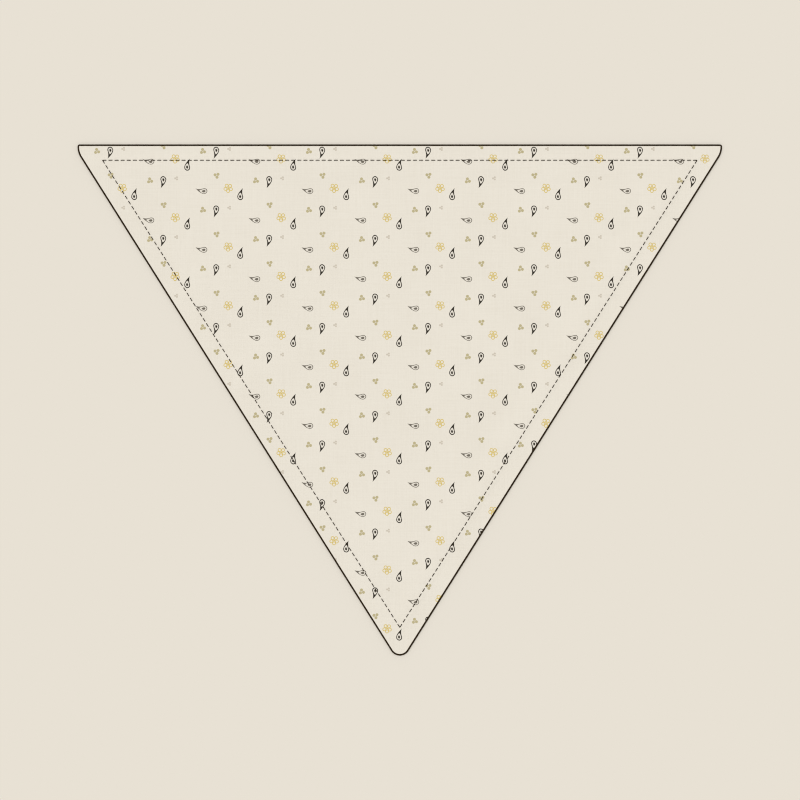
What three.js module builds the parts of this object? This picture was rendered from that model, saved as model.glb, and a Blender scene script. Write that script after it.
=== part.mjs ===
// A triangular neckerchief of cream cotton, laid flat on a table. The long neck edge lies
// along X at the far side, and the point hangs towards the viewer, along -Y. +Z is up.
// The origin is on the table, under the middle of the finished outline.
//
// One front cloth covers the whole triangle. Three hems are turned under it, and a dark
// thread edging runs round the folded rim. The front lies on the table in the middle and
// rises over the hems near its rim.
import * as THREE from "three";

// The finished outline in millimetres, between sharp corners, before they are rounded. A tie
// end turns tightly off the neck edge until it runs straight down, and then swings gently
// into the slanting edge.
const NECK_WIDTH = 569;
const POINT_DEPTH = 452;
const TIE_TURN_RADIUS = 2;
const TIE_SWING_RADIUS = 18;
const POINT_RADIUS = 9;

// Cloth and hems.
const CLOTH = 1;
const NECK_HEM_DEPTH = 17;
const SIDE_HEM_DEPTH = 20;
const INNER_TURN_RADIUS = 0.3;
const INNER_SWING_RADIUS = 2;
const EASE_RUN = 9; // the front settles from the hem to the table over this width

// Dark thread edging, seen from above as a line of this width.
const EDGING_WIDTH = 1.5;
const EDGING_PROUD = 0.3; // it stands this far above the cloth
const EDGING_ROUNDING = 0.4;

// Room between pieces that touch on the real kerchief.
const CLEARANCE = 0.3;
const ARC_STEPS = 5; // straight steps along each arc of a rounded corner

// Rounding cuts the sharp point back, and the outline that is left is centred on the origin.
const HALF_POINT_ANGLE = Math.atan(NECK_WIDTH / 2 / POINT_DEPTH);
const ROUNDED_OFF_POINT = POINT_RADIUS * (1 / Math.sin(HALF_POINT_ANGLE) - 1);
const NECK_Y = (POINT_DEPTH - ROUNDED_OFF_POINT) / 2;
const POINT_Y = NECK_Y - POINT_DEPTH;

const CLOTH_INSET = EDGING_WIDTH + CLEARANCE;
const FRONT_RISE = CLOTH + CLEARANCE; // the underside of the front, over a hem
const STACK = FRONT_RISE + CLOTH;

// How the front comes down beside a hem: `run` is a share of EASE_RUN, measured from the
// hem's inner edge, and `rise` is a share of FRONT_RISE.
const EASE_PROFILE = [
  { run: 0, rise: 1 },
  { run: 0.2, rise: 0.93 },
  { run: 0.4, rise: 0.68 },
  { run: 0.6, rise: 0.35 },
  { run: 0.8, rise: 0.09 },
  { run: 1, rise: 0 },
];

// How the folded rim of the front is rounded: `inset` and `level` are shares of CLOTH.
const FOLD_PROFILE = [
  { inset: 0.3, level: 0 },
  { inset: 0, level: 0.3 },
  { inset: 0, level: 0.7 },
  { inset: 0.3, level: 1 },
];

const materials = {
  cloth: new THREE.MeshStandardMaterial({ color: 0xe9e2d4, roughness: 0.92, metalness: 0 }),
  hem: new THREE.MeshStandardMaterial({ color: 0xe4dccc, roughness: 0.94, metalness: 0 }),
  thread: new THREE.MeshStandardMaterial({ color: 0x3a3228, roughness: 0.7, metalness: 0 }),
};

// The three corners of the outline, anticlockwise from the right-hand tie end, with the neck
// edge moved in by `neck` and the two slanting edges by `side`. Two arcs round each corner:
// the first ends the edge before it, and the second starts the edge after it.
function corners(neck, side) {
  const y = NECK_Y - neck;
  const pointY = POINT_Y + side / Math.sin(HALF_POINT_ANGLE);
  const x = (y - pointY) * Math.tan(HALF_POINT_ANGLE);
  const inset = Math.max(neck, side);
  const turn = Math.max(TIE_TURN_RADIUS - inset, INNER_TURN_RADIUS);
  const swing = Math.max(TIE_SWING_RADIUS - inset, INNER_SWING_RADIUS);
  const point = Math.max(POINT_RADIUS - inset, INNER_SWING_RADIUS);
  const [sine, cosine] = [Math.sin(HALF_POINT_ANGLE), Math.cos(HALF_POINT_ANGLE)];
  const tieX = x - (swing * (1 - cosine) + turn * sine) / cosine;
  const tieY = y - turn;
  const [right, up, left, down] = [0, 0.5, 1, 1.5].map((share) => share * Math.PI);
  const arc = (centreX, centreY, radius, start, end) => ({
    centre: new THREE.Vector2(centreX, centreY),
    radius,
    start,
    end,
  });
  return [
    {
      at: new THREE.Vector2(x, y),
      arcs: [
        arc(tieX - swing, tieY, swing, right - HALF_POINT_ANGLE, right),
        arc(tieX - turn, tieY, turn, right, up),
      ],
    },
    {
      at: new THREE.Vector2(-x, y),
      arcs: [
        arc(turn - tieX, tieY, turn, up, left),
        arc(swing - tieX, tieY, swing, left, left + HALF_POINT_ANGLE),
      ],
    },
    {
      at: new THREE.Vector2(0, pointY),
      arcs: [
        arc(0, pointY + point / sine, point, left + HALF_POINT_ANGLE, down),
        arc(0, pointY + point / sine, point, down, 2 * Math.PI - HALF_POINT_ANGLE),
      ],
    },
  ];
}

// Points along an arc, each with its outward direction.
function arcStations({ centre, radius, start, end }) {
  return Array.from({ length: ARC_STEPS + 1 }, (_, i) => {
    const angle = start + ((end - start) * i) / ARC_STEPS;
    const outward = new THREE.Vector2(Math.cos(angle), Math.sin(angle));
    return { at: centre.clone().addScaledVector(outward, radius), outward };
  });
}

// The whole rounded outline, anticlockwise, moved in by `neck` and `side`.
function outline(neck, side) {
  return corners(neck, side).flatMap(({ arcs: [first, second] }) => {
    const stations = [...arcStations(first), ...arcStations(second).slice(1)];
    return stations.map((station) => station.at);
  });
}

// One edge of the outline, from the middle of one rounded corner to the middle of the next.
// Each end stops short by `trim`, so that neighbouring pieces don't touch.
function edgeStations(edge, inset, trim) {
  const list = corners(inset, inset);
  const from = list[edge].arcs[1];
  const to = list[(edge + 1) % 3].arcs[0];
  return [
    ...arcStations({ ...from, start: from.start + trim / from.radius }),
    ...arcStations({ ...to, end: to.end - trim / to.radius }),
  ];
}

// A closed body through rings of equally many points, with a flat cap at each end.
function loft(rings) {
  const count = rings[0].length;
  const positions = rings.flat().flatMap((point) => [point.x, point.y, point.z]);
  const indices = [];
  for (let ring = 0; ring + 1 < rings.length; ring++) {
    for (let i = 0; i < count; i++) {
      const next = (i + 1) % count;
      const [a, b] = [ring * count + i, ring * count + next];
      indices.push(a, b, b + count, a, b + count, a + count);
    }
  }
  const lastRing = (rings.length - 1) * count;
  for (const [a, b, c] of capTriangles(rings[0])) {
    indices.push(c, b, a);
  }
  for (const [a, b, c] of capTriangles(rings.at(-1))) {
    indices.push(lastRing + a, lastRing + b, lastRing + c);
  }
  const geometry = new THREE.BufferGeometry();
  geometry.setAttribute("position", new THREE.Float32BufferAttribute(positions, 3));
  geometry.setIndex(indices);
  geometry.computeVertexNormals();
  return geometry;
}

// The triangles that fill a flat ring, wound the same way as the ring itself.
function capTriangles(ring) {
  const first = ring[0];
  const far = ring[Math.floor(ring.length / 3)];
  const normal = new THREE.Vector3();
  for (let i = 0; i < ring.length; i++) {
    normal.add(new THREE.Vector3().crossVectors(ring[i], ring[(i + 1) % ring.length]));
  }
  normal.normalize();
  const across = far.clone().sub(first).projectOnPlane(normal).normalize();
  const up = normal.clone().cross(across);
  const flat = ring.map((point) => new THREE.Vector2(point.dot(across), point.dot(up)));
  return THREE.ShapeUtils.triangulateShape(flat, []);
}

// A ring of the front cloth at one height.
function clothRing(neck, side, z) {
  return outline(neck, side).map((point) => new THREE.Vector3(point.x, point.y, z));
}

function frontCloth() {
  const settle = (thickness) => ({ run, rise }) => {
    const beyondHem = CLEARANCE + run * EASE_RUN;
    const z = rise * FRONT_RISE + thickness;
    return clothRing(NECK_HEM_DEPTH + beyondHem, SIDE_HEM_DEPTH + beyondHem, z);
  };
  const underside = [...EASE_PROFILE].reverse().map(settle(0));
  const fold = FOLD_PROFILE.map(({ inset, level }) => {
    const moved = CLOTH_INSET + inset * CLOTH;
    return clothRing(moved, moved, FRONT_RISE + level * CLOTH);
  });
  const topside = EASE_PROFILE.map(settle(CLOTH));
  return loft([...underside, ...fold, ...topside]);
}

// A hem turned under one edge, mitred where it meets the next hem.
function hem(edge) {
  const rim = edgeStations(edge, CLOTH_INSET, CLEARANCE / 2).map((station) => station.at);
  const inner = corners(NECK_HEM_DEPTH, SIDE_HEM_DEPTH);
  const from = inner[edge].at;
  const to = inner[(edge + 1) % 3].at;
  const along = to.clone().sub(from).normalize();
  const shape = new THREE.Shape(rim);
  const ends = [
    { corner: to, rimEnd: rim.at(-1), way: -1 },
    { corner: from, rimEnd: rim[0], way: 1 },
  ];
  for (const { corner, rimEnd, way } of ends) {
    const mitre = rimEnd.clone().sub(corner).normalize();
    const shift = CLEARANCE / 2 / Math.abs(mitre.cross(along));
    const end = corner.clone().addScaledVector(along, way * shift);
    shape.lineTo(end.x, end.y);
  }
  return new THREE.ExtrudeGeometry(shape, { depth: CLOTH, bevelEnabled: false });
}

// The dark thread edging along one edge: a rounded bar that stands a little above the cloth.
function edging(edge) {
  const height = STACK + EDGING_PROUD;
  const [near, far] = [EDGING_ROUNDING, EDGING_WIDTH - EDGING_ROUNDING];
  const [low, high] = [EDGING_ROUNDING, height - EDGING_ROUNDING];
  const section = [
    { inset: far, z: 0 },
    { inset: EDGING_WIDTH, z: low },
    { inset: EDGING_WIDTH, z: high },
    { inset: far, z: height },
    { inset: near, z: height },
    { inset: 0, z: high },
    { inset: 0, z: low },
    { inset: near, z: 0 },
  ];
  const rings = edgeStations(edge, 0, CLEARANCE / 2).map(({ at, outward }) =>
    section.map(({ inset, z }) => {
      const point = at.clone().addScaledVector(outward, -inset);
      return new THREE.Vector3(point.x, point.y, z);
    }),
  );
  return loft(rings);
}

function piece(name, geometry, material) {
  const mesh = new THREE.Mesh(geometry, material);
  mesh.name = name;
  return mesh;
}

const neckerchief = new THREE.Group();
neckerchief.name = "neckerchief";
neckerchief.add(piece("front_cloth", frontCloth(), materials.cloth));

// The corners run anticlockwise, so the edges are the neck, then the left and right sides.
["neck", "left", "right"].forEach((side, edge) => {
  neckerchief.add(piece(`hem_${side}`, hem(edge), materials.hem));
  neckerchief.add(piece(`edging_${side}`, edging(edge), materials.thread));
});

export default neckerchief;
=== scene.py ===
# A triangular neckerchief of cream cotton, laid flat on a pale table and seen from straight
# above. The neck edge is at the top of the picture, and the point is at the bottom.
# Lengths are in millimetres until a mesh is made.
import math

import bpy
import numpy as np
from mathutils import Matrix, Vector
from mathutils.geometry import delaunay_2d_cdt


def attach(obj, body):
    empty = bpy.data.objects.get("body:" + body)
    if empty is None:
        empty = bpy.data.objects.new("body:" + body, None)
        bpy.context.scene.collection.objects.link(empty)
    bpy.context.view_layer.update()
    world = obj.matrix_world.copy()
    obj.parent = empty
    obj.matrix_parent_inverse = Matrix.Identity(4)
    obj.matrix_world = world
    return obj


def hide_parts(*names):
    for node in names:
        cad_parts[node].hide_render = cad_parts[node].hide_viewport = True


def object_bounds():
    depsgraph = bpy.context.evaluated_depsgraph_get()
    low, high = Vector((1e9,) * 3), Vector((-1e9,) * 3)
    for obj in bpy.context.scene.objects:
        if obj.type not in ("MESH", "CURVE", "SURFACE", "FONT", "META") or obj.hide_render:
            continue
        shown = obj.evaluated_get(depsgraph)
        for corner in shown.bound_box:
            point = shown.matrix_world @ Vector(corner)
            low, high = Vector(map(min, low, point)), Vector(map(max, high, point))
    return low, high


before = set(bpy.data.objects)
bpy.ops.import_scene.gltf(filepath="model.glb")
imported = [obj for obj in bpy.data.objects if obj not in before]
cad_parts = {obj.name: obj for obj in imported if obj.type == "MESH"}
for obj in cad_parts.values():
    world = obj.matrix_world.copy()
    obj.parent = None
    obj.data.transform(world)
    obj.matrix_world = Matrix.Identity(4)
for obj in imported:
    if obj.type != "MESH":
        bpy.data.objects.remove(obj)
CAD_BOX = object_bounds()
MM = 0.001

# The finished outline between sharp corners, before they are rounded. A tie end turns
# tightly off the neck edge, and then swings gently into the slanting edge.
NECK_WIDTH = 569
POINT_DEPTH = 452
TIE_TURN_RADIUS = 2
TIE_SWING_RADIUS = 18
POINT_RADIUS = 9
ARC_POINTS = 24  # along each arc of a corner
LEAST_RADIUS = 0.05  # of an arc that an inset has used up
NECK_Y = CAD_BOX[1].y / MM
TIP_Y = CAD_BOX[0].y / MM

# Cloth and hems. A hem is one layer, doubled near its inner edge where the raw edge is
# tucked back inside it.
CLOTH = 0.4
LAYER_GAP = 0.04
DOUBLED = 2 * CLOTH + LAYER_GAP
NECK_HEM_DEPTH = 17
SIDE_HEM_DEPTH = 20
TUCK = 6
CLOTH_INSET = 0.35  # the folded rim of the cloth lies this far inside the outline
MITRE_GAP = 0.3  # between two hems at the rim
MITRE_OPENING = 1.6  # the same gap at the hems' inner corner, as a multiple

# Edging: thread wound closely round the rim.
EDGING_WIDTH = 1.75
EDGING_GAP = 0.05  # between the ends of two runs
WRAP_THREAD = 0.6
WRAP_FLATNESS = 0.62  # the thickness of the thread as a share of its width
WRAP_PITCH = 0.52
WRAP_LEAN = 0.8  # the outer side of a turn lies this far along from its inner side
WRAP_WANDER = 0.015  # turns lie off their even places by about this much
THREAD_UNEVENNESS = 0.06  # the thread's radius varies by about this share
EDGING_SEED = 40

# Running stitch, sewn through the hems. Its line is a triangle with sharp corners, and
# each side of it begins and ends with a stitch on the front.
STITCH_FROM_NECK = 13.9
STITCH_FROM_TIP = 24.6
STITCH_HALF_SPAN = 258.1
NECK_STITCHES = 98
SIDE_STITCHES = 92
STITCH_SHOWN = 0.63  # the share of each stitch that lies on the front
BOW = 0.12  # the middle of a stitch stands this much higher than its ends
PLIES = 3
PLY = 0.4
PLY_OFFSET = 0.18  # the middle of a ply lies this far from the middle of the thread
PLY_TWIST = 3.6  # one full turn of the plies takes this much thread

# Camera. A pixel of the picture covers this much of the table, and the middle of the
# neckerchief lies at this place in the picture, in pixels.
PIXEL = 0.869
OBJECT_AT = (399.8, 400)
IMAGE_SIZE = 800
IMAGE_MIDDLE = IMAGE_SIZE / 2
LENS = 85
SENSOR = 36
FAR_CLIP = 20  # metres


def unit(vectors):
    """The same vectors, each of length 1."""
    return vectors / np.linalg.norm(vectors, axis=-1, keepdims=True)


def smooth(share):
    """A soft step from 0 to 1."""
    t = np.clip(share, 0, 1)
    return t * t * t * (t * (6 * t - 15) + 10)


# The outline as numbers. Corners and edges run anticlockwise from the right tie end, so
# the edges are the neck, the left side and the right side.
EDGES = ("neck", "left", "right")
CORNERS = np.array(
    [
        (NECK_WIDTH / 2, NECK_Y),
        (-NECK_WIDTH / 2, NECK_Y),
        (0, NECK_Y - POINT_DEPTH),
    ]
)
HEM_DEPTHS = np.array([NECK_HEM_DEPTH, SIDE_HEM_DEPTH, SIDE_HEM_DEPTH])
ALONG = unit(np.roll(CORNERS, -1, axis=0) - CORNERS)
OUTWARD = np.stack([ALONG[:, 1], -ALONG[:, 0]], axis=1)


def meeting(corner, insets):
    """Where the two edges at a corner meet, once each edge is moved in by its inset."""
    pair = [corner - 1, corner]
    reach = (OUTWARD[pair] * CORNERS[pair]).sum(axis=1) - insets[pair]
    return np.linalg.solve(OUTWARD[pair], reach)


def corner_arcs():
    """Two arcs round each corner: the first ends the edge before it, and the second starts
    the edge after it. Each has its centre, its radius and its first and last direction."""
    lean = math.atan(NECK_WIDTH / 2 / POINT_DEPTH)
    turn, swing = TIE_TURN_RADIUS, TIE_SWING_RADIUS
    cut_back = (swing * (1 - math.cos(lean)) + turn * math.sin(lean)) / math.cos(lean)
    tie_x, tie_y = NECK_WIDTH / 2 - cut_back, NECK_Y - turn
    point = (0, NECK_Y - POINT_DEPTH + POINT_RADIUS / math.sin(lean))
    up, left, down, right = (share * math.pi for share in (0.5, 1, 1.5, 2))
    return (
        (
            ((tie_x - swing, tie_y), swing, right - lean, right),
            ((tie_x - turn, tie_y), turn, 0, up),
        ),
        (
            ((turn - tie_x, tie_y), turn, up, left),
            ((swing - tie_x, tie_y), swing, left, left + lean),
        ),
        (
            (point, POINT_RADIUS, left + lean, down),
            (point, POINT_RADIUS, down, right - lean),
        ),
    )


ARCS = corner_arcs()


def edge_insets(xy):
    """How far each point lies inside each of the three straight edges."""
    return ((CORNERS[:, None] - xy) * OUTWARD[:, None]).sum(axis=-1)


def rim_inset(xy):
    """How far each point lies inside the rounded outline."""
    inset = edge_insets(xy).min(axis=0)
    for centre, radius, first, last in [arc for pair in ARCS for arc in pair]:
        arm = xy - centre
        turned = (np.arctan2(arm[:, 1], arm[:, 0]) - first) % (2 * math.pi)
        in_arc = turned < last - first
        inset = np.where(in_arc, np.minimum(inset, radius - np.linalg.norm(arm, axis=1)), inset)
    return inset


def rim_run(edge, inset):
    """The rim at an inset, from the middle of one rounded corner to the middle of the next:
    its points, and the outward direction at each."""
    points, outward = [], []
    for centre, radius, first, last in (ARCS[edge][1], ARCS[(edge + 1) % 3][0]):
        turn = np.linspace(first, last, ARC_POINTS)
        away = np.stack([np.cos(turn), np.sin(turn)], axis=1)
        points.append(centre + away * max(radius - inset, LEAST_RADIUS))
        outward.append(away)
    return np.concatenate(points), np.concatenate(outward)


def travelled(points):
    """The length along a line of points, up to each of them."""
    steps = np.linalg.norm(np.diff(points, axis=0), axis=1)
    return np.concatenate([[0], np.cumsum(steps)])


def at_length(points, values, lengths):
    """Values given at the points of a line, read off at these lengths along it."""
    known = travelled(points)
    return np.stack([np.interp(lengths, known, column) for column in values.T], axis=1)


# Soft relief. Each field takes points in plan and gives a height. The cloth stands off the
# table by the swells together, each with a mean height, and less near the stiff rim.
SWELLS = (
    {"height": 0.5, "wavelength": 105, "waves": 7, "seed": 4},
    {"height": 0.1, "wavelength": 34, "waves": 9, "seed": 9},
)
SWELL_VARIES = 0.6  # each swell rises and falls by about this share of its height
WAVELENGTH_SPREAD = (0.8, 1.35)
RIM_SWELL = 0.14  # the share of the swell that is left at the rim
STIFF_BAND = 8  # the swell starts to grow this far inside the rim
SWELL_RUN = 60  # and has its full height after this much more


def waves(xy, swell):
    """An even, smooth relief of about unit height, made of plane waves."""
    rng = np.random.default_rng(swell["seed"])
    count = swell["waves"]
    angle = rng.uniform(0, math.pi, count)
    pace = 2 * math.pi / (swell["wavelength"] * rng.uniform(*WAVELENGTH_SPREAD, count))
    phase = rng.uniform(0, 2 * math.pi, count)
    heading = np.stack([np.cos(angle), np.sin(angle)])
    return np.sin((xy @ heading) * pace + phase).sum(axis=1) / math.sqrt(count)


def lift(xy):
    """How far the cloth stands off the table. Every piece follows it."""
    height = sum(swell["height"] * (1 + SWELL_VARIES * waves(xy, swell)) for swell in SWELLS)
    inner = smooth((rim_inset(xy) - STIFF_BAND) / SWELL_RUN)
    share = RIM_SWELL + (1 - RIM_SWELL) * inner
    return np.maximum(height, 0) * share


STITCH_CORNERS = np.array(
    [
        (STITCH_HALF_SPAN, NECK_Y - STITCH_FROM_NECK),
        (-STITCH_HALF_SPAN, NECK_Y - STITCH_FROM_NECK),
        (0, TIP_Y + STITCH_FROM_TIP),
    ]
)
STITCH_COUNTS = (NECK_STITCHES, SIDE_STITCHES, SIDE_STITCHES)
PUCKER_DEPTH = 0.1
PUCKER_WIDTH = 1.9
PUCKER_VARIES = 0.4  # its depth goes up and down by this share of the greatest depth
WRINKLE_HEIGHT = 0.16
WRINKLE_REACH = 7
WRINKLES_PER_STITCH = 1.3
WRINKLES_BEFORE = 4  # wrinkles that are kept for the cloth before the first stitch
WRINKLES = 140  # enough for the longest side
WRINKLE_SEED = 20


def stitch_side(side):
    """One side of the stitch line: its start, direction and length, and the length from
    the beginning of one stitch to the next."""
    start = STITCH_CORNERS[side]
    span = STITCH_CORNERS[(side + 1) % 3] - start
    length = np.linalg.norm(span)
    return start, span / length, length, length / (STITCH_COUNTS[side] - 1 + STITCH_SHOWN)


def pucker(xy):
    """The groove under the running stitch, and the small wrinkles that cross it."""
    height = np.zeros(len(xy))
    for side in range(3):
        start, along, length, pitch = stitch_side(side)
        reach = (xy - start) @ along
        aside = np.abs((xy - start) @ np.array([along[1], -along[0]]))
        beyond = np.maximum(np.maximum(-reach, reach - length), 0)
        apart = np.hypot(aside, beyond)
        phase = reach / pitch
        stitch = np.cos(2 * math.pi * (phase - STITCH_SHOWN / 2))
        pressed = 1 - PUCKER_VARIES + PUCKER_VARIES * stitch
        height -= PUCKER_DEPTH * pressed * np.exp(-((apart / PUCKER_WIDTH) ** 2))
        heights = np.random.default_rng(WRINKLE_SEED + side).uniform(-1, 1, WRINKLES)
        place = phase * WRINKLES_PER_STITCH + WRINKLES_BEFORE
        crossing = np.interp(place, np.arange(WRINKLES), heights)
        height += WRINKLE_HEIGHT * crossing * np.exp(-((apart / WRINKLE_REACH) ** 2))
    return height


# Heights of the layers above the table where the cloth lies flat, and the widths over which
# they change.
RIM_LEVEL = WRAP_THREAD * WRAP_FLATNESS + LAYER_GAP / 2  # the hem's underside, on the edging
HEM_LEVEL = 0.2  # the hem's underside between the rim and its inner edge
TABLE_LEVEL = 0.06  # the front's underside in the middle
RIM_RUN = 5  # the hem comes down off the edging
TUCK_RUN = 3  # the front climbs over the tucked edge
FRONT_RUN = 22  # the front settles from the hem to the table


def hem_underside(xy):
    """The height of the hem's underside, before the lift."""
    fall = smooth((rim_inset(xy) - EDGING_WIDTH) / RIM_RUN)
    return RIM_LEVEL + (HEM_LEVEL - RIM_LEVEL) * fall


def front_underside(xy):
    """The height of the front's underside, before the lift: over one layer of hem, then two,
    then down to the table."""
    past_hem = (edge_insets(xy) - HEM_DEPTHS[:, None]).min(axis=0)
    doubled = smooth((past_hem + TUCK + TUCK_RUN / 2) / TUCK_RUN) * (CLOTH + LAYER_GAP)
    over_hem = hem_underside(xy) + CLOTH + LAYER_GAP + doubled
    eased = smooth(past_hem / FRONT_RUN)
    return over_hem + (TABLE_LEVEL - over_hem) * eased


def front_middle(xy):
    """The height of the middle of the front cloth, with everything that shapes it."""
    return front_underside(xy) + CLOTH / 2 + pucker(xy) + lift(xy)


# Meshes
CUT_MAP = "cut"  # the UV map that the materials read: places in mm on the flat material


def mesh_piece(name, points, triangles, materials, cut, face_material=None):
    """A closed, smooth mesh from points in millimetres. `cut` gives each point's place on
    the flat cloth, or along and round the thread, and `face_material` which of the materials
    each triangle wears."""
    a, b, c = (points[triangles[:, i]] for i in range(3))
    inside_out = (np.cross(a, b) * c).sum() < 0
    if inside_out:
        triangles = triangles[:, ::-1]
    mesh = bpy.data.meshes.new(name)
    mesh.vertices.add(len(points))
    mesh.vertices.foreach_set("co", (points * MM).ravel())
    mesh.loops.add(triangles.size)
    mesh.loops.foreach_set("vertex_index", triangles.ravel().astype(np.int32))
    mesh.polygons.add(len(triangles))
    mesh.polygons.foreach_set("loop_start", np.arange(0, triangles.size, 3, dtype=np.int32))
    mesh.polygons.foreach_set("use_smooth", np.ones(len(triangles), bool))
    if face_material is not None:
        mesh.polygons.foreach_set("material_index", face_material.astype(np.int32))
    layer = mesh.uv_layers.new(name=CUT_MAP)
    layer.data.foreach_set("uv", cut[triangles.ravel()].ravel())
    mesh.update(calc_edges=True)
    mesh.validate()
    for material in materials:
        mesh.materials.append(material)
    piece = bpy.data.objects.new(name, mesh)
    bpy.context.scene.collection.objects.link(piece)
    return piece


def loft(rings):
    """Triangles that join rings of points, given as an array of rings, with closed ends."""
    count, sides = rings.shape[:2]
    ring, side = np.meshgrid(np.arange(count - 1), np.arange(sides), indexing="ij")
    a = (ring * sides + side).ravel()
    b = (ring * sides + (side + 1) % sides).ravel()
    walls = np.concatenate([np.stack([a, b, b + sides], 1), np.stack([a, b + sides, a + sides], 1)])
    fan = np.arange(1, sides - 1)
    first = np.stack([np.zeros_like(fan), fan + 1, fan], 1)
    last = first[:, ::-1] + (count - 1) * sides
    return np.concatenate([walls, first, last])


def tube_rings(centres, sideways, upwards, radii, sides):
    """Round sections about each centre, in the plane of its two directions."""
    turn = np.linspace(0, 2 * math.pi, sides, endpoint=False)
    spread = np.cos(turn)[None, :, None] * sideways[:, None]
    spread = spread + np.sin(turn)[None, :, None] * upwards[:, None]
    return centres[:, None] + spread * radii[:, None, None]


# Front cloth
FINE_SPACING = 1.35
COARSE_SPACING = 2.7
FINE_BAND = 25  # the fine grid reaches this far in from the rim
GRID_CLEARANCE = 0.6  # a grid of points starts this share of its spacing past the last one
RIM_RINGS = (0, 0.09, 0.3, 0.9, 1.9)  # lines of points along the rim, from the fold inwards
RIM_SPACING = 1.25
MERGE_DISTANCE = 1e-6
BAKE_MAP = "OFBake"  # the name of the map for baked textures
BAKE_SPAN = 0.985  # each side of the cloth takes this share of the image's width and height
BAKE_MARGIN = 0.004  # and stops this far from its edges


def rim_loop(inset):
    """Evenly spaced points right round the rim."""
    loops = []
    for edge in range(3):
        outer, _ = rim_run(edge, 0)
        points, _ = rim_run(edge, inset)
        total = travelled(outer)[-1]
        lengths = np.arange(0, total - RIM_SPACING / 2, RIM_SPACING)
        loops.append(at_length(outer, points, lengths))
    return np.concatenate(loops)


def hex_grid(spacing):
    """A triangular grid of points over the whole neckerchief."""
    rows = np.arange(TIP_Y, NECK_Y, spacing * math.sqrt(3) / 2)
    columns = np.arange(-NECK_WIDTH / 2, NECK_WIDTH / 2, spacing)
    x, y = np.meshgrid(columns, rows)
    x = x + spacing / 2 * (np.arange(len(rows)) % 2)[:, None]
    return np.stack([x.ravel(), y.ravel()], axis=1)


def front_plan():
    """The points and triangles of the front cloth in plan, and which points are on its rim."""
    loops = [rim_loop(CLOTH_INSET + step) for step in RIM_RINGS]
    fine, coarse = hex_grid(FINE_SPACING), hex_grid(COARSE_SPACING)
    fine_from = CLOTH_INSET + RIM_RINGS[-1] + FINE_SPACING * GRID_CLEARANCE
    coarse_from = FINE_BAND + COARSE_SPACING * GRID_CLEARANCE
    fine_inset, coarse_inset = rim_inset(fine), rim_inset(coarse)
    fine = fine[(fine_inset > fine_from) & (fine_inset < FINE_BAND)]
    coarse = coarse[coarse_inset > coarse_from]
    points = np.concatenate([*loops, fine, coarse])
    rim_count = len(loops[0])
    rim_face = list(range(rim_count))
    inside = 1  # the triangulation keeps only what lies inside the rim
    places, _, triangles, sources, _, _ = delaunay_2d_cdt(
        [Vector(p) for p in points], [], [rim_face], inside, MERGE_DISTANCE, True
    )
    plan = np.array([tuple(p) for p in places])
    on_rim = np.array([min(made_from) < rim_count for made_from in sources])
    triangles = np.array(triangles)
    sliver = on_rim[triangles].all(axis=1)
    return plan, triangles[~sliver], on_rim


def add_bake_map(mesh):
    """A second map of the front cloth, for its baked textures. Each side of the cloth fills its own
    half of the square image, and a gap runs between them along the diagonal."""
    cut = np.empty(2 * len(mesh.loops), np.float32)
    mesh.uv_layers[CUT_MAP].data.foreach_get("uv", cut)
    x, y = cut.reshape(-1, 2).T
    face_material = np.empty(len(mesh.polygons), np.int32)
    mesh.polygons.foreach_get("material_index", face_material)
    on_reverse = np.repeat(face_material == 1, 3)[:, None]
    up = (y - TIP_Y) / (NECK_Y - TIP_Y)
    over = x / NECK_WIDTH + up / 2
    corner = (BAKE_MARGIN, 1 - BAKE_MARGIN)
    place = np.stack([over, up - 1], axis=1) * BAKE_SPAN + corner
    place = np.where(on_reverse, 1 - place, place)
    layer = mesh.uv_layers.new(name=BAKE_MAP)
    layer.data.foreach_set("uv", place.astype(np.float32).ravel())


def make_front(printed, reverse):
    """The front cloth: two sides that meet in the fold along the rim."""
    plan, triangles, on_rim = front_plan()
    inset = rim_inset(plan)
    into_fold = np.clip((inset - CLOTH_INSET) / (CLOTH / 2), 0, 1)
    half = CLOTH / 2 * np.sqrt(1 - (1 - into_fold) ** 2)
    half[on_rim] = 0
    middle = front_middle(plan)
    top = np.column_stack([plan, middle + half])
    inner = np.flatnonzero(~on_rim)
    below = np.arange(len(plan))
    below[inner] = len(plan) + np.arange(len(inner))
    bottom = np.column_stack([plan[inner], (middle - half)[inner]])
    points = np.concatenate([top, bottom])
    faces = np.concatenate([triangles, below[triangles][:, ::-1]])
    face_material = np.repeat([0, 1], len(triangles))
    cut = points[:, :2]
    materials = [printed, reverse]
    piece = mesh_piece("front_cotton", points, faces, materials, cut, face_material)
    add_bake_map(piece.data)
    return piece


# Hems
HEM_COLUMN = 1.5
HEM_ROWS = 13
TUCK_ROWS = 5
FOLD_STEPS = 5


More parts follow.
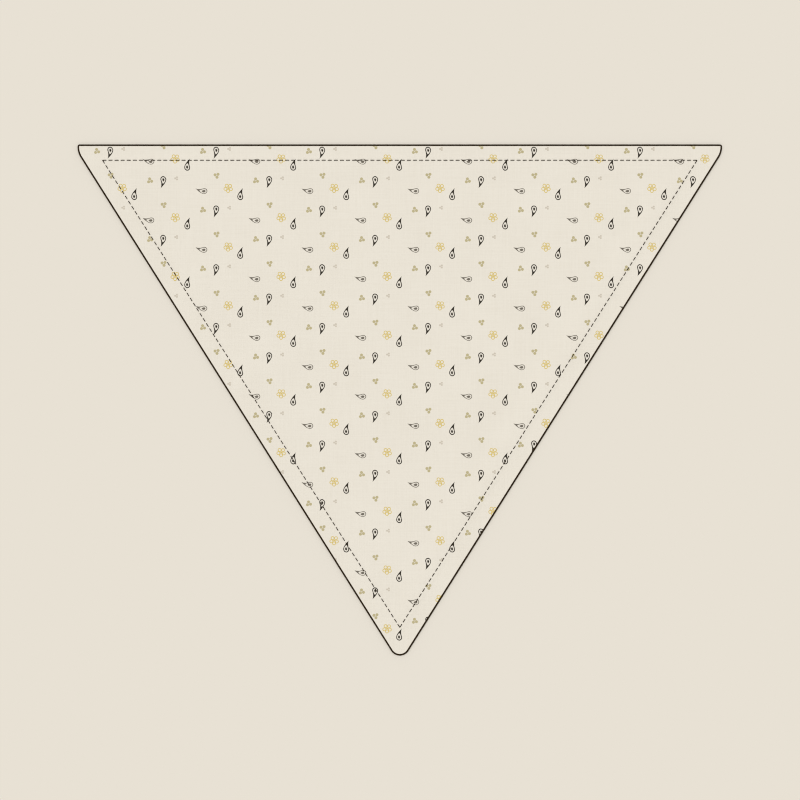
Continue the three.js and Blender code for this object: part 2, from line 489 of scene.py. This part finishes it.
def hem_section(depth):
    """One section through a hem, from the rim, under to the inner fold, back over the tuck
    and in between the layers: each row has its inset, its height above the underside, its
    distance along the cloth from the rim, and whether it is on the printed side."""
    rim = CLOTH_INSET + CLOTH / 2
    bend = DOUBLED / 2
    fold = depth - bend
    back = depth - TUCK
    rows = []
    for inset in np.linspace(rim, fold, HEM_ROWS):
        rows.append((inset, 0, inset, 1))
    for turn in np.linspace(0, math.pi, FOLD_STEPS + 2)[1:-1]:
        rows.append((fold + bend * math.sin(turn), bend * (1 - math.cos(turn)), depth, 1))
    for inset in np.linspace(fold, back, TUCK_ROWS):
        rows.append((inset, DOUBLED, 2 * depth - inset, 1))
    rows.append((back - CLOTH / 2, DOUBLED - CLOTH / 2, 2 * depth - back, 0))
    for inset in (back, (back + fold) / 2, fold):
        rows.append((inset, DOUBLED - CLOTH, 2 * depth - inset, 0))
    rows.append((fold + LAYER_GAP / 2, CLOTH + LAYER_GAP / 2, depth, 0))
    for inset in np.linspace(fold, rim, HEM_ROWS):
        rows.append((inset, CLOTH, inset, 0))
    rows.append((CLOTH_INSET, CLOTH / 2, CLOTH_INSET, 0))
    return np.array(rows)


def hem_corners(edge):
    """The two inner corners of a hem, on the mitre lines."""
    return meeting(edge, HEM_DEPTHS), meeting((edge + 1) % 3, HEM_DEPTHS)


def make_hem(edge, printed, reverse):
    """The hem under one edge, swept along it between its two mitres."""
    depth = HEM_DEPTHS[edge]
    rim, _ = rim_run(edge, CLOTH_INSET)
    total = travelled(rim)[-1]
    columns = int(total / HEM_COLUMN)
    trimmed = np.linspace(MITRE_GAP / 2, total - MITRE_GAP / 2, columns)
    outer = at_length(rim, rim, trimmed)
    first, last = hem_corners(edge)
    share = np.linspace(0, 1, columns)[:, None]
    inner = first * (1 - share) + last * share
    inner = inner + ALONG[edge] * (0.5 - share) * MITRE_GAP * MITRE_OPENING
    section = hem_section(depth)
    inset, rise, cut_depth, is_print = section.T
    across = ((inset - CLOTH_INSET) / (depth - CLOTH_INSET))[None, :, None]
    plan = outer[:, None] * (1 - across) + inner[:, None] * across
    flat = plan.reshape(-1, 2)
    under = hem_underside(flat) + lift(flat)
    height = under + np.tile(rise, columns)
    points = np.column_stack([flat, height])
    faces = loft(points.reshape(columns, len(section), 3))
    reach = ((flat - CORNERS[edge]) @ ALONG[edge])[:, None] * ALONG[edge]
    beyond = np.tile(cut_depth, columns)[:, None] * OUTWARD[edge]
    cut = CORNERS[edge] + reach + beyond
    printed_corners = is_print[faces % len(section)].sum(axis=1)
    face_material = (printed_corners < 2).astype(int)
    name = f"hem_cotton_{EDGES[edge]}"
    return mesh_piece(name, points, faces, [printed, reverse], cut, face_material)


# Edging
WRAP_STEPS = 12
WRAP_SIDES = 6


def make_edging(edge, thread):
    """One run of the edging: a flattened thread, wound as a helix round the folded rim."""
    radius = WRAP_THREAD / 2
    thin = radius * WRAP_FLATNESS
    rim, _ = rim_run(edge, thin)
    path, outward = rim_run(edge, EDGING_WIDTH / 2)
    total = travelled(rim)[-1] - EDGING_GAP
    wraps = int(total / WRAP_PITCH)
    pitch = total / wraps
    half_turn = WRAP_STEPS // 2  # so that the thread begins on the inner side of the rim
    turn = np.linspace(-math.pi, 2 * math.pi * wraps, half_turn + wraps * WRAP_STEPS + 1)
    rng = np.random.default_rng(EDGING_SEED + edge)
    wobble = np.interp(turn / (2 * math.pi), np.arange(wraps + 1), rng.normal(0, 1, wraps + 1))
    length = EDGING_GAP / 2 + pitch * turn / (2 * math.pi)
    length = length + WRAP_LEAN / 2 * np.cos(turn) + WRAP_WANDER * wobble
    length = np.clip(length, EDGING_GAP / 2, total + EDGING_GAP / 2)
    spine = at_length(rim, path, length)
    away = unit(at_length(rim, outward, length))
    half_width = EDGING_WIDTH / 2 - thin
    half_height = DOUBLED / 2 + thin
    plan = spine + away * (half_width * np.cos(turn))[:, None]
    middle = RIM_LEVEL + DOUBLED / 2 + lift(spine)
    centres = np.column_stack([plan, middle + half_height * np.sin(turn)])
    ahead = unit(np.gradient(centres, axis=0))
    radial = np.column_stack([away * np.cos(turn)[:, None], np.sin(turn)])
    radial = unit(radial - (radial * ahead).sum(axis=1)[:, None] * ahead)
    across = np.cross(ahead, radial)
    radii = radius * (1 + THREAD_UNEVENNESS * wobble)
    rings = tube_rings(centres, radial * WRAP_FLATNESS, across, radii, WRAP_SIDES)
    points = rings.reshape(-1, 3)
    run = np.repeat(travelled(centres), WRAP_SIDES)
    round_it = np.tile(np.arange(WRAP_SIDES) / WRAP_SIDES, len(centres))
    cut = np.column_stack([run, round_it])
    return mesh_piece(f"whipped_edging_{EDGES[edge]}", points, loft(rings), [thread], cut)


# Running stitch
PLY_SIDES = 6
SUNK = 0.2  # the thread lies this deep in the cloth
UNDER_SUNK = 0.03  # on the reverse, its middle lies this deep in the hem
UNDER_FLATNESS = 0.45
DIVE = 0.05  # the thread goes through the cloth within this share of a stitch, each way
DIVE_STEPS = 5
OVER_STEPS = 5
UNDER_STEPS = 2


def stitch_path(side):
    """The middle line of the sewing thread along one side of the stitch triangle, and how
    thick it is at each point, as a share of its width."""
    start, along, _, pitch = stitch_side(side)
    through = np.linspace(-DIVE, DIVE, DIVE_STEPS)
    over = np.linspace(DIVE, STITCH_SHOWN - DIVE, OVER_STEPS + 2)[1:-1]
    under = np.linspace(STITCH_SHOWN + DIVE, 1 - DIVE, UNDER_STEPS + 2)[1:-1]
    phases = np.concatenate([through, over, STITCH_SHOWN + through, under])
    sinking = smooth(np.linspace(0, 1, DIVE_STEPS))
    depths = np.concatenate([1 - sinking, np.zeros(OVER_STEPS), sinking, np.ones(UNDER_STEPS)])
    count = STITCH_COUNTS[side]
    phase = (np.arange(count)[:, None] + phases).ravel()[:-UNDER_STEPS]
    depth = np.tile(depths, count)[:-UNDER_STEPS]
    plan = start + along * (phase * pitch)[:, None]
    bow = np.sin(math.pi * np.clip((phase % 1) / STITCH_SHOWN, 0, 1)) * BOW
    top = front_middle(plan) + CLOTH / 2 + PLY_OFFSET + PLY / 2 - SUNK + bow
    bottom = hem_underside(plan) + lift(plan) + UNDER_SUNK
    path = np.column_stack([plan, top * (1 - depth) + bottom * depth])
    return path, 1 - (1 - UNDER_FLATNESS) * depth


def make_stitches(side, thread):
    """The running stitch along one side: plies that twist round each other."""
    centres, flatness = stitch_path(side)
    along = stitch_side(side)[1]
    ahead = unit(np.gradient(centres, axis=0))
    sideways = np.tile([along[1], -along[0], 0], (len(centres), 1))
    upwards = np.cross(ahead, sideways) * flatness[:, None]
    run = travelled(centres)
    all_points, all_faces, all_cut = [], [], []
    for ply in range(PLIES):
        turn = (2 * math.pi * (run / PLY_TWIST + ply / PLIES))[:, None]
        line = centres + PLY_OFFSET * (np.cos(turn) * sideways + np.sin(turn) * upwards)
        rings = tube_rings(line, sideways, upwards, np.full(len(line), PLY / 2), PLY_SIDES)
        all_faces.append(loft(rings) + sum(len(p) for p in all_points))
        all_points.append(rings.reshape(-1, 3))
        round_it = np.tile(np.arange(PLY_SIDES) / PLY_SIDES, len(line))
        all_cut.append(np.column_stack([np.repeat(run, PLY_SIDES), round_it]))
    return mesh_piece(
        f"running_stitch_{EDGES[side]}",
        np.concatenate(all_points),
        np.concatenate(all_faces),
        [thread],
        np.concatenate(all_cut),
    )


# Shaders. A Number is a value in a shader, so that a pattern can be written as arithmetic.
class Number:
    def __init__(self, tree, socket):
        self.tree = tree
        self.socket = socket

    def math(self, operation, *others):
        """What a math node gives for this value and the others, Numbers or plain ones."""
        node = self.tree.nodes.new("ShaderNodeMath")
        node.operation = operation
        for slot, value in zip(node.inputs, (self, *others)):
            if isinstance(value, Number):
                self.tree.links.new(value.socket, slot)
            else:
                slot.default_value = value
        return Number(self.tree, node.outputs[0])

    def __add__(self, other):
        return self.math("ADD", other)

    def __sub__(self, other):
        return self.math("SUBTRACT", other)

    def __rsub__(self, other):
        return (self * -1) + other

    def __mul__(self, other):
        return self.math("MULTIPLY", other)

    def __truediv__(self, other):
        return self.math("DIVIDE", other)

    def step(self, low, high):
        """0 below low, 1 above high, and smooth between them."""
        node = self.tree.nodes.new("ShaderNodeMapRange")
        node.interpolation_type = "SMOOTHSTEP"
        self.tree.links.new(self.socket, node.inputs["Value"])
        node.inputs["From Min"].default_value = low
        node.inputs["From Max"].default_value = high
        return Number(self.tree, node.outputs["Result"])


def linear(red, green, blue):
    """A colour from its 8-bit screen values, made linear by the sRGB curve."""
    parts = [value / 255 for value in (red, green, blue)]
    return (*[p / 12.92 if p <= 0.04045 else ((p + 0.055) / 1.055) ** 2.4 for p in parts], 1)


def noise(tree, vector, scale, stretch=(1, 1, 1)):
    """Soft noise from 0 to 1, of about `scale` waves in each millimetre."""
    mapping = tree.nodes.new("ShaderNodeVectorMath")
    mapping.operation = "MULTIPLY"
    mapping.inputs[1].default_value = [scale * s for s in stretch]
    tree.links.new(vector, mapping.inputs[0])
    node = tree.nodes.new("ShaderNodeTexNoise")
    node.inputs["Scale"].default_value = 1
    node.inputs["Detail"].default_value = 2
    tree.links.new(mapping.outputs[0], node.inputs["Vector"])
    return Number(tree, node.outputs["Fac"])


# A mix node has sockets for numbers, vectors and colours. To mix colours, it takes its share
# and the two colours at these inputs, and gives the result at this output.
MIX_INPUTS = (0, 6, 7)
MIX_OUTPUT = 2


def blend(tree, share, first, second):
    """A mix of two colours, each a socket or a colour."""
    node = tree.nodes.new("ShaderNodeMix")
    node.data_type = "RGBA"
    factor, first_colour, second_colour = (node.inputs[i] for i in MIX_INPUTS)
    tree.links.new(share.socket, factor)
    for slot, colour in ((first_colour, first), (second_colour, second)):
        if isinstance(colour, tuple):
            slot.default_value = colour
        else:
            tree.links.new(colour, slot)
    return node.outputs[MIX_OUTPUT]


def new_material(name):
    """A material, its tree and shader, and the place on the flat material as a socket."""
    material = bpy.data.materials.new(name)
    material.use_nodes = True
    tree = material.node_tree
    shader = tree.nodes["Principled BSDF"]
    place = tree.nodes.new("ShaderNodeUVMap")
    place.uv_map = CUT_MAP
    return material, tree, shader, place.outputs["UV"]


def coordinates(tree, place):
    """The two coordinates of a place, each as a Number."""
    split = tree.nodes.new("ShaderNodeSeparateXYZ")
    tree.links.new(place, split.inputs[0])
    return Number(tree, split.outputs["X"]), Number(tree, split.outputs["Y"])


def bump(tree, shader, height, distance):
    """Relief from a height in shares of `distance`, which is in millimetres."""
    node = tree.nodes.new("ShaderNodeBump")
    node.inputs["Distance"].default_value = distance * MM
    node.inputs["Strength"].default_value = 1
    tree.links.new(height.socket, node.inputs["Height"])
    tree.links.new(node.outputs["Normal"], shader.inputs["Normal"])


# Print: small paisley drops, blossoms and trefoils in a half-drop repeat.
CELL_WIDTH = 46
CELL_HEIGHT = 51
INK_EDGE = 0.22  # the ink fades over this much either side of its edge
DARK_INK = linear(40, 34, 22)
GREY_INK = linear(112, 105, 94)
MUSTARD_INK = linear(216, 190, 100)
TAUPE_INK = linear(191, 179, 138)
FAINT_INK = linear(208, 198, 181)
MOTIFS = (
    {"form": "drop", "at": (0, 0), "size": 9.2, "turn": 20, "ink": DARK_INK},
    {"form": "drop", "at": (24, 11), "size": 9.2, "turn": 200, "ink": DARK_INK},
    {"form": "thin_drop", "at": (12, 29), "size": 9, "turn": 110, "ink": GREY_INK},
    {"form": "blossom", "at": (35, 31), "size": 8.4, "turn": 15, "ink": MUSTARD_INK},
    {"form": "trefoil", "at": (13, 12), "size": 6.4, "turn": 40, "ink": TAUPE_INK},
    {"form": "trefoil", "at": (25, 42), "size": 6.4, "turn": 100, "ink": TAUPE_INK},
    {"form": "trefoil", "at": (36, 14), "size": 4.2, "turn": 0, "ink": FAINT_INK},
)

# The forms, in shares of a motif's size. A drop's hollow, and the kernel in its hollow, begin
# at these squared depths. A flower has round petals, whose middles lie at its reach, and an
# eye. Its petals have an outline of this width, or are filled where it is 0.
DROPS = {
    "drop": {"hollow": 0.038, "kernel": 0.064},
    "thin_drop": {"hollow": 0.03, "kernel": 0.059},
}
FLOWERS = {
    "blossom": {"petals": 5, "reach": 0.3, "size": 0.19, "eye": 0.12, "outline": 0.072},
    "trefoil": {"petals": 3, "reach": 0.24, "size": 0.2, "eye": 0.05, "outline": 0},
}
PIP = 0.75  # the pip of an outlined flower, as a share of its eye
DROP_WIDTH_SQUARED = 0.5  # the larger this is, the wider a drop
CURL_FROM = 0.3  # a drop curls aside above this height
CURL = 1.05
CURL_BACK = 0.14  # and the whole drop is moved back by this much
SQUARED_BLUR = 0.3  # an edge in squared depth fades over this share of a plain edge's width


def half_drop(x, y, motif):
    """Coordinates about the nearest copy of a motif, turned with it, in shares of its size.
    Every other column of copies is moved down by half a cell."""
    from_x = x - motif["at"][0]
    from_y = y - motif["at"][1]
    column = (from_x / CELL_WIDTH + 0.5).math("FLOOR")
    dropped = from_y + column.math("FLOORED_MODULO", 2) * (CELL_HEIGHT / 2)
    row = (dropped / CELL_HEIGHT + 0.5).math("FLOOR")
    near_x = (from_x - column * CELL_WIDTH) / motif["size"]
    near_y = (dropped - row * CELL_HEIGHT) / motif["size"]
    turn = math.radians(motif["turn"])
    along = near_x * math.cos(turn) + near_y * math.sin(turn)
    up = near_y * math.cos(turn) - near_x * math.sin(turn)
    return along, up


def drop_depth(x, y):
    """How far inside a curled drop a point lies, and its squared depth, which gives rounder
    shapes inside the drop. The round end is low and the tip high."""
    height = y + 0.5
    left = 1 - height
    width_squared = height * left * left.math("ABSOLUTE") * DROP_WIDTH_SQUARED
    bend = (height - CURL_FROM).math("MAXIMUM", 0)
    aside = x + CURL_BACK - bend * bend * CURL
    beyond = (height * -1).math("MAXIMUM", left * -1).math("MAXIMUM", 0)
    width = width_squared.math("MAXIMUM", 0).math("SQRT")
    return width - aside.math("ABSOLUTE") - beyond * 2, width_squared - aside * aside


def petal_depth(x, y, flower):
    """How far inside a flower of round petals a point lies, and how far from its middle."""
    radius = (x * x + y * y).math("SQRT")
    turn = 2 * math.pi / flower["petals"]
    angle = y.math("ARCTAN2", x).math("FLOORED_MODULO", turn) - turn / 2
    along = radius * angle.math("COSINE") - flower["reach"]
    aside = radius * angle.math("SINE")
    return flower["size"] - (along * along + aside * aside).math("SQRT"), radius


def motif_ink(x, y, motif):
    """The share of a point that one motif covers."""
    soft = INK_EDGE / motif["size"]
    near_x, near_y = half_drop(x, y, motif)
    if motif["form"] in DROPS:
        drop = DROPS[motif["form"]]
        depth, squared = drop_depth(near_x, near_y)
        blur = soft * SQUARED_BLUR
        hollow = (squared - drop["hollow"]).step(-blur, blur)
        kernel = (squared - drop["kernel"]).step(-blur, blur)
        return depth.step(-soft, soft) - (hollow - kernel)
    flower = FLOWERS[motif["form"]]
    depth, radius = petal_depth(near_x, near_y, flower)
    ink = depth.step(-soft, soft)
    if flower["outline"]:
        pip = (flower["eye"] * PIP - radius).step(-soft, soft)
        return ink - (depth - flower["outline"]).step(-soft, soft) + pip * (1 - ink)
    return ink * (radius - flower["eye"]).step(-soft, soft)


# Cotton. Slubs are thicker stretches of yarn, long one way, and patches are broad and faint. The
# cloth's colour also holds painted shade in the hollows of the weave and painted light on the tops
# of its yarns.
WEAVE_PITCH = 0.5
WEAVE_RELIEF = 0.085
CRIMP = 0.3  # a yarn rises and sinks by this share of the relief
YARN_ROUND = 0.5  # and its middle stands this share above its sides
WEAVE_FLOOR = 0.2
COTTON = linear(238, 231, 217)
COTTON_SHADE = linear(230, 222, 207)
SLUB_SCALE = 0.9
SLUB_STRETCH = 0.035
SLUB_RELIEF = 1.6
PATCH_SCALE = 0.02
SHADE_MEAN = 0.35
SHADE_FROM_SLUB = 1.1
SHADE_FROM_PATCH = 0.5
# Painted shade in the weave's hollows and painted light on its yarn tops, set in the cloth's
# colour.
PAINTED_SHADE_FROM_WEAVE = 0.35
UNSHADED_WEAVE = 0.8  # the height at which the weave neither darkens nor lightens the cloth
INK_IN_HOLLOWS = 0.8  # the ink holds less where the weave is low
INK_FROM_WEAVE = 0.35
FEATHER_SCALE = 1.6
FEATHER = 0.5  # the print's edges wander by this much in all


def plain_weave(x, y):
    """The height of a plain weave, as a share of its relief."""
    across, down = x * (math.pi / WEAVE_PITCH), y * (math.pi / WEAVE_PITCH)
    wave_x, wave_y = across.math("SINE"), down.math("SINE")
    warp = wave_x.math("SIGN") * wave_y * CRIMP + wave_x.math("ABSOLUTE") * YARN_ROUND
    weft = wave_y.math("SIGN") * wave_x * -CRIMP + wave_y.math("ABSOLUTE") * YARN_ROUND
    return warp.math("MAXIMUM", weft) + WEAVE_FLOOR


def cotton_material(name, ink_share):
    """Printed plain-weave cotton. The ink shows less on the reverse of the cloth."""
    material, tree, shader, place = new_material(name)
    x, y = coordinates(tree, place)

    weave = plain_weave(x, y)
    warp_slub = noise(tree, place, SLUB_SCALE, stretch=(1, SLUB_STRETCH, 1))
    weft_slub = noise(tree, place, SLUB_SCALE, stretch=(SLUB_STRETCH, 1, 1))
    slub = (warp_slub + weft_slub) * 0.5
    patch = noise(tree, place, PATCH_SCALE)
    shade = (slub - 0.5) * SHADE_FROM_SLUB + (patch - 0.5) * SHADE_FROM_PATCH
    # Painted shade and painted light: the colour is darker where the weave is low and lighter where
    # it is high.
    shade = shade + (UNSHADED_WEAVE - weave) * PAINTED_SHADE_FROM_WEAVE + SHADE_MEAN
    colour = blend(tree, shade.step(0, 1), COTTON, COTTON_SHADE)

    feather = (noise(tree, place, FEATHER_SCALE) - 0.5) * FEATHER
    print_x, print_y = x + feather, y + feather
    hold = (weave * INK_FROM_WEAVE + INK_IN_HOLLOWS).math("MINIMUM", 1) * ink_share
    for motif in MOTIFS:
        ink = motif_ink(print_x, print_y, motif) * hold
        colour = blend(tree, ink, colour, motif["ink"])
    tree.links.new(colour, shader.inputs["Base Color"])
    shader.inputs["Roughness"].default_value = 0.92
    shader.inputs["Specular IOR Level"].default_value = 0.25
    shader.inputs["Sheen Weight"].default_value = 0.12
    shader.inputs["Sheen Roughness"].default_value = 0.5
    bump(tree, shader, weave + slub * SLUB_RELIEF, WEAVE_RELIEF)
    return material


# Thread. Its fibres lie at a slant, so each goes round it as it runs along. Its colour holds
# painted shade in the grooves between the fibres.
FIBRES_PER_MM = 1.4
FIBRES_ROUND = 3
FIBRE_RELIEF = 0.03
THREAD_PATCH_SCALE = 0.6
THREAD_DARK = linear(40, 29, 12)
THREAD_LIGHT = linear(55, 41, 21)


def thread_material():
    """Dark sewing thread, of fine slanting fibres."""
    material, tree, shader, place = new_material("dark_thread")
    run, round_it = coordinates(tree, place)
    turns = run * FIBRES_PER_MM + round_it * FIBRES_ROUND
    fibres = (turns * (2 * math.pi)).math("SINE") * 0.5 + 0.5
    uneven = noise(tree, place, THREAD_PATCH_SCALE)
    # Painted shade: half of the colour follows the fibre relief, darker in the grooves and lighter
    # on the ridges; the other half is uneven tone from noise.
    share = fibres * 0.5 + uneven * 0.5
    colour = blend(tree, share, THREAD_DARK, THREAD_LIGHT)
    tree.links.new(colour, shader.inputs["Base Color"])
    shader.inputs["Roughness"].default_value = 0.75
    shader.inputs["Specular IOR Level"].default_value = 0.1
    bump(tree, shader, fibres, FIBRE_RELIEF)
    return material


# Stage. A soft key light comes from the upper left, and the rest is even light from all
# round. Together they give a flat white surface its full brightness.
TABLE_SIZE = 24  # metres, so that its edge is out of sight
TABLE_COLOUR = linear(232, 225, 212)
KEY_HEIGHT = math.radians(70)
KEY_HEADING = math.radians(135)
KEY_SHARE = 0.34
SUN_SIZE = math.radians(28)
PIXEL_FILTER = 1.1


def make_stage():
    """The table and the light."""
    bpy.ops.mesh.primitive_plane_add(size=TABLE_SIZE)
    floor = bpy.context.object
    floor.name = "table_top"
    material = bpy.data.materials.new("table_top")
    material.use_nodes = True
    shader = material.node_tree.nodes["Principled BSDF"]
    shader.inputs["Base Color"].default_value = TABLE_COLOUR
    shader.inputs["Roughness"].default_value = 1
    shader.inputs["Specular IOR Level"].default_value = 0
    floor.data.materials.append(material)

    lamp = bpy.data.lights.new("key", "SUN")
    lamp.energy = math.pi * KEY_SHARE / math.sin(KEY_HEIGHT)
    lamp.angle = SUN_SIZE
    key = bpy.data.objects.new("key", lamp)
    flat = math.cos(KEY_HEIGHT)
    east, north = flat * math.cos(KEY_HEADING), flat * math.sin(KEY_HEADING)
    towards = Vector((east, north, math.sin(KEY_HEIGHT)))
    key.rotation_euler = towards.to_track_quat("Z", "Y").to_euler()
    bpy.context.scene.collection.objects.link(key)

    world = bpy.data.worlds.new("room")
    world.use_nodes = True
    backdrop = world.node_tree.nodes["Background"]
    backdrop.inputs["Color"].default_value = (1, 1, 1, 1)
    backdrop.inputs["Strength"].default_value = 1 - KEY_SHARE
    bpy.context.scene.world = world
    bpy.context.scene.view_settings.view_transform = "Standard"
    bpy.context.scene.cycles.filter_width = PIXEL_FILTER


def make_camera():
    """The camera, straight above, as far off as its lens needs for the given scale."""
    lens = bpy.data.cameras.new("camera")
    lens.lens = LENS
    lens.sensor_width = SENSOR
    lens.clip_end = FAR_CLIP
    camera = bpy.data.objects.new("camera", lens)
    off_x, off_y = (value - IMAGE_MIDDLE for value in OBJECT_AT)
    frame_width = IMAGE_SIZE * PIXEL
    away = frame_width / SENSOR * LENS
    camera.location = Vector((-off_x * PIXEL, off_y * PIXEL, away)) * MM
    bpy.context.scene.collection.objects.link(camera)
    bpy.context.scene.camera = camera


def declare_cloth(hems):
    """Works out each hem's two inner corners and the length of its rim in metres, and keeps none of
    them.
    """
    for edge, hem in enumerate(hems):
        first, last = hem_corners(edge)
        outer = travelled(rim_run(edge, CLOTH_INSET)[0])[-1] * MM


def main():
    make_camera()
    make_stage()
    printed = cotton_material("printed_cotton", ink_share=1)
    reverse = cotton_material("cotton_reverse", ink_share=0.3)
    thread = thread_material()

    front = make_front(printed, reverse)
    hems = [make_hem(edge, printed, reverse) for edge in range(3)]
    edgings = [make_edging(edge, thread) for edge in range(3)]
    stitches = [make_stitches(edge, thread) for edge in range(3)]
    for piece in (front, *hems, *edgings, *stitches):
        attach(piece, "root")
    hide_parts("front_cloth")
    for edge, name in enumerate(EDGES):
        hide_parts(f"hem_{name}")
        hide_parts(f"edging_{name}")
    declare_cloth(hems)


main()
